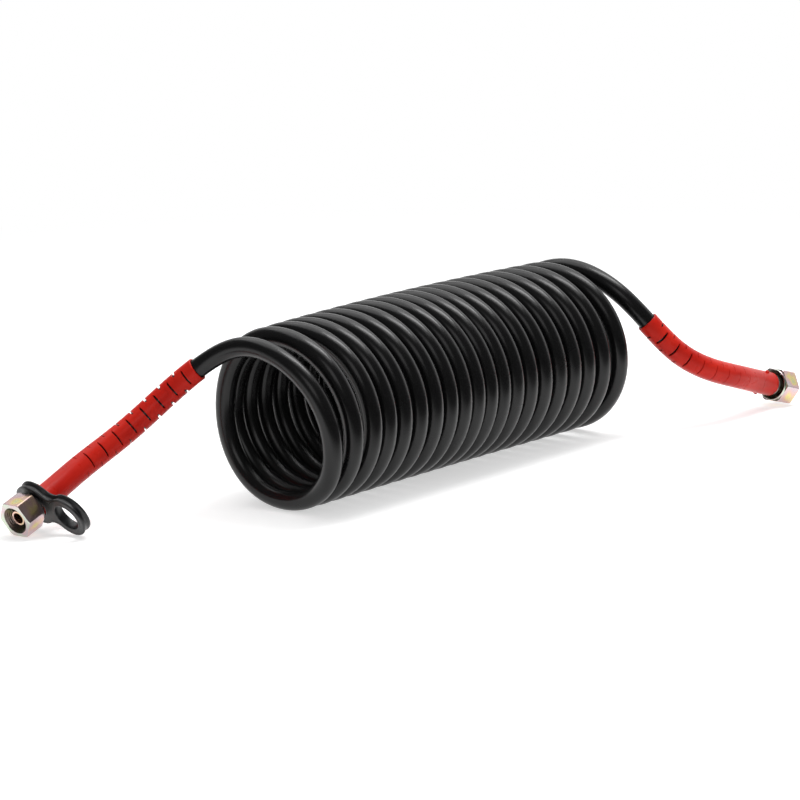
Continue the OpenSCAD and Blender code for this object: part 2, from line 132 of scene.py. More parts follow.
# Each end lies on a flat of its nut, at a slope and a heading of its own
NUT_AF, FLOOR_GAP = 21.0, 0.02
NEAR_SLOPE, NEAR_HEADING, NEAR_REACH, NEAR_SIDE = 19.9, -2.7, 141.8, 85.8
FAR_SLOPE, FAR_HEADING, FAR_REACH, FAR_SIDE = 15.7, 175.4, 140.8, -79.9


def back_and_down(slope, heading):
    s, h = math.radians(slope), math.radians(heading)
    return (np.array([math.cos(h) * math.cos(s), math.sin(h) * math.cos(s), math.sin(s)]),
            np.array([math.cos(h) * math.sin(s), math.sin(h) * math.sin(s), -math.cos(s)]))


def mouth_height(slope):
    return NUT_AF / 2 * math.cos(math.radians(slope)) + FLOOR_GAP


near_x, far_x = coil_point(NEAR_TURN)[0], coil_point(COIL_TURNS)[0]
near_mouth = np.array([near_x - NEAR_REACH, NEAR_SIDE, mouth_height(NEAR_SLOPE)])
far_mouth = np.array([far_x + FAR_REACH, FAR_SIDE, mouth_height(FAR_SLOPE)])
near_back, near_down = back_and_down(NEAR_SLOPE, NEAR_HEADING)
far_back, far_down = back_and_down(FAR_SLOPE, FAR_HEADING)
# Way of each tail from the coil to its nut: x is measured outward from the coil's end
near_way = [(6.4, -43, 26), (14.8, -50, 54), (19.6, -41, 80), (21.4, -17, 98), (21.7, 11.3, 103.2),
            (25.4, 36.3, 90), (37.8, 55.8, 70.6), (59.3, 70.6, 49), (86.5, 81.8, 33.3)]
far_way = [(4.4, -45, 88), (15.1, -59, 67.2), (30.1, -68.6, 48), (52.7, -77.3, 35.4), (80.8, -81.3, 27.2)]
# The hose starts behind the nut's web, and its last stretch is straight
HOSE_START, END_RUN = 11.7, 22.0
GUIDE_STEPS = 10


def guided(guides, u):
    """Point of a smooth curve guided by four points, u from 0 to 1 along its stretch."""
    return ((1 - u) ** 3 * guides[0] + (3 * u ** 3 - 6 * u * u + 4) * guides[1]
            + (-3 * u ** 3 + 3 * u * u + 3 * u + 1) * guides[2] + u ** 3 * guides[3]) / 6


def guided_curve(lead, way, end, back):
    """A tail from the coil to the hose's end, through the same guide points as the solid."""
    guides = np.array(lead + way + [end + END_RUN * back, end, end - END_RUN * back])
    points = [guided(guides[i:i + 4], u)
              for i in range(len(guides) - 3) for u in np.arange(GUIDE_STEPS) / GUIDE_STEPS]
    return np.array(points + [end])


near_tail = guided_curve(leave(NEAR_TURN, 1), [(near_x - x, y, z) for x, y, z in near_way],
                         near_mouth + HOSE_START * near_back, near_back)[::-1]
far_tail = guided_curve(leave(COIL_TURNS, -1), [(far_x + x, y, z) for x, y, z in far_way],
                        far_mouth + HOSE_START * far_back, far_back)
RINGS_A_TURN = 72
coil_rings = int((COIL_TURNS - NEAR_TURN) * RINGS_A_TURN)
coil_path = np.array([coil_point(NEAR_TURN + k / RINGS_A_TURN) for k in range(coil_rings + 1)])
hose_path = np.vstack([near_tail, coil_path[1:], far_tail[1:]])
coil_from = len(near_tail) - 1
coil_to = coil_from + coil_rings


def length_along(path):
    return np.concatenate([[0.0], np.cumsum(np.linalg.norm(np.diff(path, axis=0), axis=1))])


def carried_frames(path, first):
    """Tangents, normals that follow them without twisting from the first one on, and binormals."""
    tangents = np.gradient(path, axis=0)
    tangents /= np.linalg.norm(tangents, axis=1)[:, None]
    normals = []
    for t in tangents:
        n = first - (first @ t) * t
        first = n / np.linalg.norm(n)
        normals.append(first)
    normals = np.array(normals)
    return tangents, normals, np.cross(tangents, normals)


HOSE_SIDES = 28
_, hose_normals, hose_binormals = carried_frames(hose_path, near_down)


def tube_rings(stretch, radius):
    """Rings of points round a stretch of the hose."""
    a = 2 * math.pi * np.arange(HOSE_SIDES) / HOSE_SIDES
    around = (np.cos(a)[None, :, None] * hose_normals[stretch][:, None, :]
              + np.sin(a)[None, :, None] * hose_binormals[stretch][:, None, :])
    return hose_path[stretch][:, None, :] + radius * around


def make_piece(name, points, faces):
    """A smooth piece from points in millimetres."""
    mesh = bpy.data.meshes.new(name)
    mesh.from_pydata((np.asarray(points) * MM).tolist(), [], [list(f) for f in faces])
    mesh.validate()
    mesh.update()
    mesh.shade_smooth()
    return put_in_scene(name, mesh)


# The bore shows at both ends only, a little deeper than the nipple's stem goes in
BORE_DEPTH = 21.0
run = length_along(hose_path)
near_bore = slice(0, np.searchsorted(run, BORE_DEPTH))
far_bore = slice(len(run) - np.searchsorted(run[-1] - run[::-1], BORE_DEPTH), None)
rings = np.concatenate([tube_rings(near_bore, BORE_D / 2)[::-1], tube_rings(slice(None), TUBE_D / 2),
                        tube_rings(far_bore, BORE_D / 2)[::-1]])
faces = []
for i in range(len(rings) - 1):
    for k in range(HOSE_SIDES):
        n = (k + 1) % HOSE_SIDES
        near_ring, far_ring = i * HOSE_SIDES, (i + 1) * HOSE_SIDES
        faces.append((near_ring + k, near_ring + n, far_ring + n, far_ring + k))
faces.append(tuple(reversed(range(HOSE_SIDES))))
faces.append(tuple((len(rings) - 1) * HOSE_SIDES + k for k in range(HOSE_SIDES)))
hose = make_piece("hose", rings.reshape(-1, 3), faces)
# A map that runs round the hose, and along it in metres
wrap = hose.data.uv_layers.new(name="along")
ring_run = np.concatenate([run[near_bore][::-1], run, run[far_bore][::-1]]) * MM
for face in hose.data.polygons:
    for loop in face.loop_indices:
        v = hose.data.loops[loop].vertex_index
        wrap.data[loop].uv = ((v % HOSE_SIDES) / HOSE_SIDES, ring_run[v // HOSE_SIDES])


def new_material(name):
    material = bpy.data.materials.new(name)
    material.use_nodes = True
    nodes = material.node_tree.nodes
    return material, nodes, material.node_tree.links, nodes["Principled BSDF"]


def add(nodes, kind, values=None, **settings):
    """A new node with its settings, and the values of its inputs by name or place."""
    node = nodes.new(kind)
    for key, value in settings.items():
        setattr(node, key, value)
    for key, value in (values or {}).items():
        node.inputs[key].default_value = value
    return node


def colour_ramp(nodes, first, last, *between):
    """A colour ramp from stops of a place and a colour."""
    node = add(nodes, "ShaderNodeValToRGB")
    for element, (place, colour) in zip(node.color_ramp.elements, (first, last)):
        element.position, element.color = place, colour
    for place, colour in between:
        node.color_ramp.elements.new(place).color = colour
    return node


FLOAT, COLOUR = "NodeSocketFloat", "NodeSocketColor"


def node_group(name, inputs, outputs):
    """An empty shader group with named sockets."""
    group = bpy.data.node_groups.new(name, "ShaderNodeTree")
    for label, kind, value in inputs:
        group.interface.new_socket(label, in_out="INPUT", socket_type=kind).default_value = value
    for label, kind in outputs:
        group.interface.new_socket(label, in_out="OUTPUT", socket_type=kind)
    return group, group.nodes.new("NodeGroupInput"), group.nodes.new("NodeGroupOutput")


def moulding_grain():
    """Fine grain and slow waves of a drawn, moulded or plated skin, and a roughness that varies over it."""
    group, given, out = node_group("moulding_grain", [
        ("Grain Scale", FLOAT, 900.0), ("Wave Scale", FLOAT, 60.0), ("Grain", FLOAT, 0.5),
        ("Roughness", FLOAT, 0.4), ("Variation", FLOAT, 0.1)], [("Height", FLOAT), ("Roughness", FLOAT)])
    nodes, links = group.nodes, group.links
    place = add(nodes, "ShaderNodeTexCoord")
    grain = add(nodes, "ShaderNodeTexNoise", {"Detail": 3.0})
    wave = add(nodes, "ShaderNodeTexNoise", {"Detail": 2.0})
    for noise, scale in ((grain, "Grain Scale"), (wave, "Wave Scale")):
        links.new(place.outputs["Object"], noise.inputs["Vector"])
        links.new(given.outputs[scale], noise.inputs["Scale"])
    height = add(nodes, "ShaderNodeMix")
    links.new(given.outputs["Grain"], height.inputs["Factor"])
    links.new(wave.outputs["Fac"], height.inputs["A"])
    links.new(grain.outputs["Fac"], height.inputs["B"])
    links.new(height.outputs["Result"], out.inputs["Height"])
    centred = add(nodes, "ShaderNodeMath", {1: 0.5}, operation="SUBTRACT")
    links.new(wave.outputs["Fac"], centred.inputs[0])
    spread = add(nodes, "ShaderNodeMath", operation="MULTIPLY_ADD")
    links.new(centred.outputs[0], spread.inputs[0])
    links.new(given.outputs["Variation"], spread.inputs[1])
    links.new(given.outputs["Roughness"], spread.inputs[2])
    links.new(spread.outputs[0], out.inputs["Roughness"])
    return group


grain_group = moulding_grain()


def place_group(nodes, group, **values):
    node = add(nodes, "ShaderNodeGroup", node_tree=group)
    for key, value in values.items():
        node.inputs[key.replace("_", " ")].default_value = value
    return node


def bump_from(nodes, links, height, strength, distance, shader):
    bump = add(nodes, "ShaderNodeBump", {"Strength": strength, "Distance": distance})
    links.new(height, bump.inputs["Height"])
    links.new(bump.outputs["Normal"], shader.inputs["Normal"])


# The tube is drawn through a die, which leaves faint lines along it; handling dulls it in patches
hose_black, nodes, links, shader = new_material("hose_black")
shader.inputs["Specular IOR Level"].default_value = 0.38
grain = place_group(nodes, grain_group, Grain_Scale=700.0, Wave_Scale=45.0, Grain=0.25, Roughness=0.25,
                    Variation=0.16)
links.new(grain.outputs["Roughness"], shader.inputs["Roughness"])
uv = add(nodes, "ShaderNodeUVMap", uv_map="along")
stretch = add(nodes, "ShaderNodeMapping", {"Scale": (60.0, 1.5, 1.0)})
links.new(uv.outputs["UV"], stretch.inputs["Vector"])
lines = add(nodes, "ShaderNodeTexNoise", {"Scale": 1.0, "Detail": 2.0})
links.new(stretch.outputs["Vector"], lines.inputs["Vector"])
height = add(nodes, "ShaderNodeMath", {1: 0.5}, operation="MULTIPLY_ADD")
links.new(lines.outputs["Fac"], height.inputs[0])
links.new(grain.outputs["Height"], height.inputs[2])
bump_from(nodes, links, height.outputs[0], 0.25, 0.00006, shader)
tone = colour_ramp(nodes, (0.0, (0.0035, 0.0035, 0.0038, 1)), (1.0, (0.0065, 0.0065, 0.0068, 1)))
links.new(lines.outputs["Fac"], tone.inputs["Fac"])
links.new(tone.outputs["Color"], shader.inputs["Base Color"])
hose.data.materials.append(hose_black)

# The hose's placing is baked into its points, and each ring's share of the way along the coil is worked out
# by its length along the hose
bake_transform(hose)
share = np.clip((run - run[coil_from]) / (run[coil_to] - run[coil_from]), 0, 1)
share = np.concatenate([share[near_bore], share, share[far_bore]])
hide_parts("near_tail", "coil", "far_tail")

# ---------------------------------------------------------------------------------------------
# Kink sleeves: red polyamide mouldings pushed over the ends of the hose. Cross slots let them bend with
# it; they are widest at the coil end, and there is a pair of small nibs near the nut.
SLEEVE_FROM, SLEEVE_TO = 6.3, 138.6
R_NUT, R_COIL, R_IN = 7.8, 7.25, 6.3
# The bore is wider over the ferrule
R_OVER_FERRULE, FERRULE_END = 6.9, 19.0
EDGE_LEN, EDGE_OUT, EDGE_IN = 0.35, 0.3, 0.15
SLOT_PITCH, FIRST_SLOT, SLOT_ROWS = 11.4, 7.6, 8
SLOT_HALF, SLOT_END = math.radians(47), 0.05
PLAIN_STEP = 4.0
COLUMNS = 96
NIB_AT, NIB_R, NIB_H, NIB_SHANK, NIB_ROOT = 16.0, 1.4, 1.3, 0.4, 0.5
NIB_RINGS, NIB_SIDES = 5, 16


def sampled(path, first):
    """A function that gives point, tangent, normal and binormal at a length along the path, to 0.01 mm."""
    run, parts = length_along(path), (path,) + carried_frames(path, first)

    def at_length(s):
        s = round(float(s), 2)
        values = [np.array([np.interp(s, run, part[:, k]) for k in range(3)]) for part in parts]
        return [values[0]] + [v / np.linalg.norm(v) for v in values[1:]]
    return at_length


def arc_gap(a, b):
    return abs((a - b + math.pi) % (2 * math.pi) - math.pi)


def slot_width(angle, middle, width):
    """Width of a slot at an angle round the sleeve: full in its middle, rounded off at both ends."""
    part = min(1.0, arc_gap(angle, middle) / SLOT_HALF)
    return width * math.sqrt(max(0.0, 1 - part ** 6))


def slot_rows(side, front, flanks):
    """Rows of slots from the nut on, each as its place and its slots' middle angles and widths."""
    rows = []
    for k in range(SLOT_ROWS):
        s = SLEEVE_TO - FIRST_SLOT - k * SLOT_PITCH
        rows.append((s, [(side, front[k]), (side + math.pi, front[k])]))
        rows.append((s - SLOT_PITCH / 2, [(side + math.pi / 2, flanks[0][k]),
                                          (side - math.pi / 2, flanks[1][k])]))
    return sorted(rows, key=lambda row: row[0])


def mesh_lines(rows):
    """The mesh's lines round the sleeve, each as its place, the way it gives to slots, and those slots."""
    plain = [SLEEVE_FROM, SLEEVE_FROM + EDGE_LEN]
    plain += list(np.arange(SLEEVE_FROM + 3.0, rows[0][0] - 2.0, PLAIN_STEP))
    lines = [(s, 0, []) for s in plain]
    for s, slots in rows:
        lines += [(s - SLOT_PITCH / 4, 0, []), (s, -1, slots), (s, 1, slots)]
    return lines + [(s, 0, []) for s in (SLEEVE_TO - FIRST_SLOT / 2, SLEEVE_TO - EDGE_LEN, SLEEVE_TO)]


def line_place(line, angle):
    """Place along the sleeve of a line at an angle: beside a slot it follows the slot's edge."""
    s, way, slots = line
    if not way:
        return s
    return s + way * (SLOT_END + max(slot_width(angle, middle, width) for middle, width in slots) / 2)


def sleeve_faces(lines, angles):
    """Faces of the outside, the inside, the ends and the walls of the slots."""
    count, last = len(lines) * COLUMNS, len(lines) - 1

    def is_open(i, k):
        if not 0 <= i < last:
            return True
        _, way, slots = lines[i]
        middle = angles[k % COLUMNS] + math.pi / COLUMNS
        return way < 0 and any(arc_gap(middle, slot) < SLOT_HALF for slot, _ in slots)

    faces = []
    for i in range(last):
        for k in range(COLUMNS):
            if is_open(i, k):
                continue
            n = (k + 1) % COLUMNS
            a, b, c, d = i * COLUMNS + k, i * COLUMNS + n, (i + 1) * COLUMNS + n, (i + 1) * COLUMNS + k
            faces.append((a, b, c, d))
            faces.append((d + count, c + count, b + count, a + count))
            for (start, stop), neighbour in (((b, a), (i - 1, k)), ((d, c), (i + 1, k)),
                                             ((a, d), (i, k - 1)), ((c, b), (i, n))):
                if is_open(*neighbour):
                    faces.append((start, stop, stop + count, start + count))
    return faces


def nib(centre, out, tangent, first):
    """Points and faces of a low round pip that stands on the sleeve, its points counted from the first."""
    across = np.cross(tangent, out)
    around = np.linspace(0, 2 * math.pi, NIB_SIDES + 1)[:-1]
    points = []
    for j in range(NIB_RINGS):
        up = math.pi / 2 * j / NIB_RINGS
        height = R_NUT + NIB_SHANK + (NIB_H - NIB_SHANK) * math.sin(up) if j else R_NUT - NIB_ROOT
        r = NIB_R * math.cos(up)
        points += [centre + height * out + r * (math.cos(g) * tangent + math.sin(g) * across) for g in around]
    points.append(centre + (R_NUT + NIB_H) * out)
    ring = [first + k for k in range(NIB_SIDES)]
    faces = [tuple(reversed(ring))]
    for j in range(NIB_RINGS - 1):
        lower, upper = [v + j * NIB_SIDES for v in ring], [v + (j + 1) * NIB_SIDES for v in ring]
        faces += [(lower[k - 1], lower[k], upper[k], upper[k - 1]) for k in range(NIB_SIDES)]
    top, tip = [v + (NIB_RINGS - 1) * NIB_SIDES for v in ring], first + NIB_RINGS * NIB_SIDES
    return points, faces + [(top[k - 1], top[k], tip) for k in range(NIB_SIDES)]


def mark_sharp(piece, degrees):
    """Edges that turn by more than the angle stay sharp under smooth shading."""
    bm = bmesh.new()
    bm.from_mesh(piece.data)
    bmesh.ops.recalc_face_normals(bm, faces=bm.faces)
    for e in bm.edges:
        e.smooth = len(e.link_faces) == 2 and e.calc_face_angle(0) < math.radians(degrees)
    bm.to_mesh(piece.data)
    bm.free()


def sleeve_mesh(name, tail, down, side, front, flanks, nib_side):
    """front: widths of the slots that face side; flanks: widths of the two rows at right angles to it."""
    at_length, side = sampled(tail, down), math.radians(side)
    angles = [2 * math.pi * k / COLUMNS + side for k in range(COLUMNS)]
    lines = mesh_lines(slot_rows(side, front, flanks))
    points = []
    for outer in (True, False):
        for i, line in enumerate(lines):
            for a in angles:
                s = line_place(line, a)
                centre, _, normal, binormal = at_length(s)
                if outer:
                    r = R_NUT + (R_COIL - R_NUT) * s / SLEEVE_TO
                else:
                    r = R_OVER_FERRULE if s < FERRULE_END else R_IN
                if i in (0, len(lines) - 1):
                    r += -EDGE_OUT if outer else EDGE_IN
                points.append(centre + r * (math.cos(a) * normal + math.sin(a) * binormal))
    faces = sleeve_faces(lines, angles)
    centre, tangent, normal, binormal = at_length(NIB_AT)
    for a in (math.radians(nib_side), math.radians(nib_side) + math.pi):
        out = math.cos(a) * normal + math.sin(a) * binormal
        nib_points, nib_faces = nib(centre, out, tangent, len(points))
        points += nib_points
        faces += nib_faces
    sleeve = make_piece(name, points, faces)
    mark_sharp(sleeve, 40)
    return sleeve


near_sleeve = sleeve_mesh("near_sleeve_skin", near_tail, near_down, side=-124, nib_side=-34,
                          front=[1.15, 1.1, 1.1, 1.1, 1.05, 1.0, 1.0, 0.95],
                          flanks=([1.9, 1.7, 1.5, 1.3, 1.0, 0.7, 0.5, 0.4],
                                  [1.9, 1.7, 1.5, 1.3, 1.0, 0.7, 0.5, 0.45]))
far_sleeve = sleeve_mesh("far_sleeve_skin", far_tail[::-1], far_down, side=155, nib_side=155,
                         front=[1.5, 1.2, 1.0, 0.5, 0.35, 0.3, 0.3, 0.3],
                         flanks=([0.8, 0.5, 0.4, 0.3, 0.3, 0.3, 0.3, 0.3],
                                 [1.5, 1.35, 1.2, 0.7, 0.4, 0.35, 0.3, 0.3]))


def give_grain(nodes, links, shader, strength, distance, **values):
    """Grain on a skin: its height as bump, and its roughness."""
    grain = place_group(nodes, grain_group, **values)
    links.new(grain.outputs["Roughness"], shader.inputs["Roughness"])
    bump_from(nodes, links, grain.outputs["Height"], strength, distance, shader)


# The red is a little uneven, as pigment is in a moulding
sleeve_red, nodes, links, shader = new_material("sleeve_red")
shader.inputs["IOR"].default_value = 1.24
give_grain(nodes, links, shader, 0.3, 0.00008, Grain_Scale=1600.0, Wave_Scale=120.0, Grain=0.55,
           Roughness=0.30, Variation=0.16)
place = add(nodes, "ShaderNodeTexCoord")
cloud = add(nodes, "ShaderNodeTexNoise", {"Scale": 45.0})
links.new(place.outputs["Object"], cloud.inputs["Vector"])
tone = colour_ramp(nodes, (0.3, (0.58, 0.014, 0.008, 1)), (0.7, (0.74, 0.026, 0.014, 1)))
links.new(cloud.outputs["Fac"], tone.inputs["Fac"])
links.new(tone.outputs["Color"], shader.inputs["Base Color"])
for piece, node, body in ((near_sleeve, "near_sleeve", "base"), (far_sleeve, "far_sleeve", "far_end")):
    piece.data.materials.append(sleeve_red)
    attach(piece, body)
    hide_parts(node)

# ---------------------------------------------------------------------------------------------
# Union nuts: turned from hexagon bar, yellow zinc plated. Each pulls on the nipple's collar from behind and
# turns freely on it. The thread is cut from the mouth; the pocket behind takes the sleeve's end.
HALF_FLATS, FACE_R, HEX_LEN, NUT_LEN = NUT_AF / 2, 11.4, 13.6, 15.0
CHAMFER, CORNER_OFF = math.tan(math.radians(30)), 0.12
COLLAR_R, POCKET_R, WEB_R, RELIEF_R, MOUTH_R = 10.4, 9.2, 5.68, 8.2, 8.4
THREAD_R, THREAD_DEPTH, THREAD_PITCH, THREAD_LEN = 7.25, 0.8, 1.5, 7.2
THREAD_FLANK, THREAD_STEP = 2.3, 0.125
WEB_FRONT, WEB_BACK = 8.4, 10.2
# Size of a broken edge, and of the lead-in to the pocket
BREAK, POCKET_LEAD = 0.1, 0.6
NUT_COLUMNS = 144


def fitting_place(mouth, slope, heading):
    turn = Matrix.Rotation(math.radians(heading), 4, "Z") @ Matrix.Rotation(math.radians(90 - slope), 4, "Y")
    return Matrix.Translation(Vector(mouth * MM)) @ turn


near_place = fitting_place(near_mouth, NEAR_SLOPE, NEAR_HEADING)
far_place = fitting_place(far_mouth, FAR_SLOPE, FAR_HEADING)


def hex_r(angle):
    """Radius of the hexagon's outline, its corners slightly rounded."""
    off = (math.degrees(angle) + 30) % 60 - 30
    return min(HALF_FLATS / math.cos(math.radians(off)), HALF_FLATS / math.cos(math.pi / 6) - CORNER_OFF)


def nut_outside(angle):
    """Section of the nut's outside from the mouth back, as (radius, place along the axis)."""
    h = hex_r(angle)
    face, step = min(FACE_R, h - 0.06), max(h - FACE_R, 0.0) * CHAMFER
    front = [(MOUTH_R + 0.05, 0.0), (face - 0.08, 0.0), (face, 0.03), (h - 0.04, step + 0.03),
             (h, step + BREAK)]
    back = [(h, HEX_LEN - step - BREAK), (h - 0.04, HEX_LEN - step - 0.03), (face, HEX_LEN)]
    collar = [(COLLAR_R + 0.02, HEX_LEN + 0.02), (COLLAR_R, HEX_LEN + BREAK), (COLLAR_R, NUT_LEN - 0.6),
              (COLLAR_R - 0.12, NUT_LEN - 0.25), (COLLAR_R - 0.4, NUT_LEN)]
    return front + [(h, HEX_LEN / 2)] + back + collar


def nut_inside(angle):
    """Section of its inside from the back to the mouth: pocket, web, relief and thread."""
    rows = [(POCKET_R + POCKET_LEAD, NUT_LEN), (POCKET_R, NUT_LEN - POCKET_LEAD), (POCKET_R, WEB_BACK + 0.2),
            (POCKET_R - 0.2, WEB_BACK), (WEB_R + BREAK, WEB_BACK), (WEB_R, WEB_BACK - BREAK),
            (WEB_R, WEB_FRONT + BREAK), (WEB_R + BREAK, WEB_FRONT), (RELIEF_R - BREAK, WEB_FRONT),
            (RELIEF_R, WEB_FRONT - BREAK), (RELIEF_R, THREAD_LEN + 0.05)]
    for z in np.arange(THREAD_LEN, BREAK, -THREAD_STEP):
        turn = (z / THREAD_PITCH - angle / (2 * math.pi)) % 1
        cut = THREAD_R + THREAD_DEPTH * max(0.0, 1 - THREAD_FLANK * abs(turn - 0.5))
        rows.append((max(cut, MOUTH_R - z), z))
    return rows


INNER_ROW = len(nut_outside(0.0))
NUT_ROWS = INNER_ROW + len(nut_inside(0.0))


def nut_mesh(name, place):
    angles = [2 * math.pi * k / NUT_COLUMNS for k in range(NUT_COLUMNS)]
    points = [(r * math.cos(a), r * math.sin(a), z)
              for a in angles for r, z in nut_outside(a) + nut_inside(a)]
    faces = []
    for k in range(NUT_COLUMNS):
        this, following = k * NUT_ROWS, (k + 1) % NUT_COLUMNS * NUT_ROWS
        for j in range(NUT_ROWS):
            n = (j + 1) % NUT_ROWS
            faces.append((this + j, this + n, following + n, following + j))
    nut = make_piece(name, points, faces)
    nut.data.transform(place)
    mark_sharp(nut, 28)
    return nut


def plating_bloom():
    """The pink, yellow and green bloom of a yellow chromate film, which changes over a few millimetres."""
    group, given, out = node_group("plating_bloom", [
        ("Scale", FLOAT, 110.0), ("Amount", FLOAT, 1.0), ("Metal", COLOUR, (0.70, 0.67, 0.58, 1)),
        ("Thickness", FLOAT, 0.5), ("Spread", FLOAT, 1.0)],
        [("Color", COLOUR), ("Film", FLOAT)])
    nodes, links = group.nodes, group.links
    place = add(nodes, "ShaderNodeTexCoord")
    film = add(nodes, "ShaderNodeTexNoise", {"Detail": 1.0, "Distortion": 0.3})
    links.new(place.outputs["Object"], film.inputs["Vector"])
    links.new(given.outputs["Scale"], film.inputs["Scale"])
    green, grey_green = (0.32, (0.46, 0.58, 0.40, 1)), (0.70, (0.56, 0.63, 0.52, 1))
    yellow, pink = (0.42, (0.78, 0.64, 0.24, 1)), (0.51, (0.72, 0.47, 0.42, 1))
    mauve = (0.60, (0.62, 0.47, 0.52, 1))
    bands = colour_ramp(nodes, green, grey_green, yellow, pink, mauve)
    centred = add(nodes, "ShaderNodeMath", {1: 0.5}, operation="SUBTRACT")
    links.new(film.outputs["Fac"], centred.inputs[0])
    thick = add(nodes, "ShaderNodeMath", operation="MULTIPLY_ADD")
    links.new(centred.outputs[0], thick.inputs[0])
    links.new(given.outputs["Spread"], thick.inputs[1])
    links.new(given.outputs["Thickness"], thick.inputs[2])
    links.new(thick.outputs[0], bands.inputs["Fac"])
    mix = add(nodes, "ShaderNodeMix", data_type="RGBA")
    links.new(given.outputs["Amount"], mix.inputs["Factor"])
    links.new(given.outputs["Metal"], mix.inputs["A"])
    links.new(bands.outputs["Color"], mix.inputs["B"])
    links.new(mix.outputs["Result"], out.inputs["Color"])
    links.new(film.outputs["Fac"], out.inputs["Film"])
    return group


bloom_group = plating_bloom()


def plated(name, scale, amount, metal, roughness, shade=1.0, spread=1.0):
    """A plated steel; shade scales its colour down, painted shade for places where little light gets in.
    Returns it and its bloom.
    """
    material, nodes, links, shader = new_material(name)
    shader.inputs["Metallic"].default_value = 1.0
    bloom = place_group(nodes, bloom_group, Scale=scale, Amount=amount, Metal=metal, Spread=spread)
    shade_scaled = add(nodes, "ShaderNodeVectorMath", {"Scale": shade}, operation="SCALE")
    links.new(bloom.outputs["Color"], shade_scaled.inputs[0])
    links.new(shade_scaled.outputs[0], shader.inputs["Base Color"])
    give_grain(nodes, links, shader, 0.15, 0.00004, Grain_Scale=1800.0, Wave_Scale=260.0, Grain=0.6,
               Roughness=roughness, Variation=0.16)
    return material, bloom


yellow_zinc, zinc_bloom = plated("yellow_zinc", 120.0, 0.92, (0.70, 0.68, 0.55, 1), 0.22, spread=0.45)
film = add(yellow_zinc.node_tree.nodes, "ShaderNodeAttribute", attribute_name="film")
yellow_zinc.node_tree.links.new(film.outputs["Fac"], zinc_bloom.inputs["Thickness"])
# A darker copy for the nut's inside faces: its colour scaled to 0.26 is painted shade in the pocket, web,
# relief and thread
inside_zinc_painted_shade, _ = plated("inside_zinc_painted_shade", 85.0, 0.6, (0.62, 0.56, 0.40, 1), 0.26, shade=0.26)
# The film is thinnest in the middle of a flat, grows to its corners, and is thickest on the end faces
FLAT_ROW, FLAT_EDGE_ROWS = 5, range(3, 8)
FLAT_FILM, CORNER_FILM, EDGE_FILM, END_FILM = 0.425, 0.13, 0.57, 0.67


def film_at(row, column):
    if row == FLAT_ROW:
        off = (360 / NUT_COLUMNS * column + 30) % 60 / 30 - 1
        return FLAT_FILM + CORNER_FILM * off * off
    return EDGE_FILM if row in FLAT_EDGE_ROWS else END_FILM


near_nut = nut_mesh("near_nut_turned", near_place)
far_nut = nut_mesh("far_nut_turned", far_place)
for piece, node in ((near_nut, "near_nut"), (far_nut, "far_nut")):
    piece.data.materials.append(yellow_zinc)
    piece.data.materials.append(inside_zinc_painted_shade)
    # The inside faces take the copy with painted shade
    for face in piece.data.polygons:
        face.material_index = int(INNER_ROW <= face.index % NUT_ROWS < NUT_ROWS - 1)
    for i, at in enumerate(piece.data.attributes.new("film", "FLOAT", "POINT").data):
        at.value = film_at(i % NUT_ROWS, i // NUT_ROWS)
    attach(piece, node)
    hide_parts(node)

# ---------------------------------------------------------------------------------------------
# Nipples, ferrules and sealing rings: the nipple is turned steel with a sealing cone and a barbed stem, the
# ferrule is a pressed steel tube that clamps the hose on the stem, and the ring is rubber in the cone's
# groove.
nipple_steel, _ = plated("nipple_steel", 160.0, 0.35, (0.80, 0.52, 0.40, 1), 0.24)
ferrule_steel, _ = plated("ferrule_steel", 200.0, 0.1, (0.68, 0.68, 0.67, 1), 0.35)
seal_rubber, nodes, links, shader = new_material("seal_rubber")
shader.inputs["Base Color"].default_value = (0.02, 0.02, 0.02, 1)
give_grain(nodes, links, shader, 0.3, 0.00004, Grain_Scale=2500.0, Wave_Scale=200.0, Grain=0.7,
           Roughness=0.6, Variation=0.1)
for end in ("near", "far"):
    for part, material in (("nipple", nipple_steel), ("ferrule", ferrule_steel), ("seal", seal_rubber)):
        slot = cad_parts[end + "_" + part].material_slots[0]
        slot.link = "OBJECT"
        slot.material = material

# ---------------------------------------------------------------------------------------------
# Holding tab: one black moulding, a ring that hangs loosely on the sleeve behind the near nut and an eyelet
# beside it for a hook. A channel runs round its edge. It lies tilted, as the floor holds it.
TAB_FRONT, TAB_T, TAB_HOLE_R = 17.8, 5.8, 8.2
RING_R, EYE_R, FILLET = 14.0, 13.35, 8.0
EYELET_REACH, EYELET_R = 25.5, 8.65
RING_POINTS, EYE_POINTS, FILLET_POINTS = 64, 56, 14
HOSE_HOLE_POINTS, EYELET_POINTS = 96, 80
tab_tilt = Matrix.Rotation(math.radians(-12.1), 4, "Y") @ Matrix.Rotation(math.radians(4.9), 4, "X")
tab_turn = tab_tilt @ Matrix.Rotation(math.radians(-81.5), 4, "Z")
hose_axis = np.array(tab_turn.to_3x3().transposed() @ Vector((0, 0, 1)))


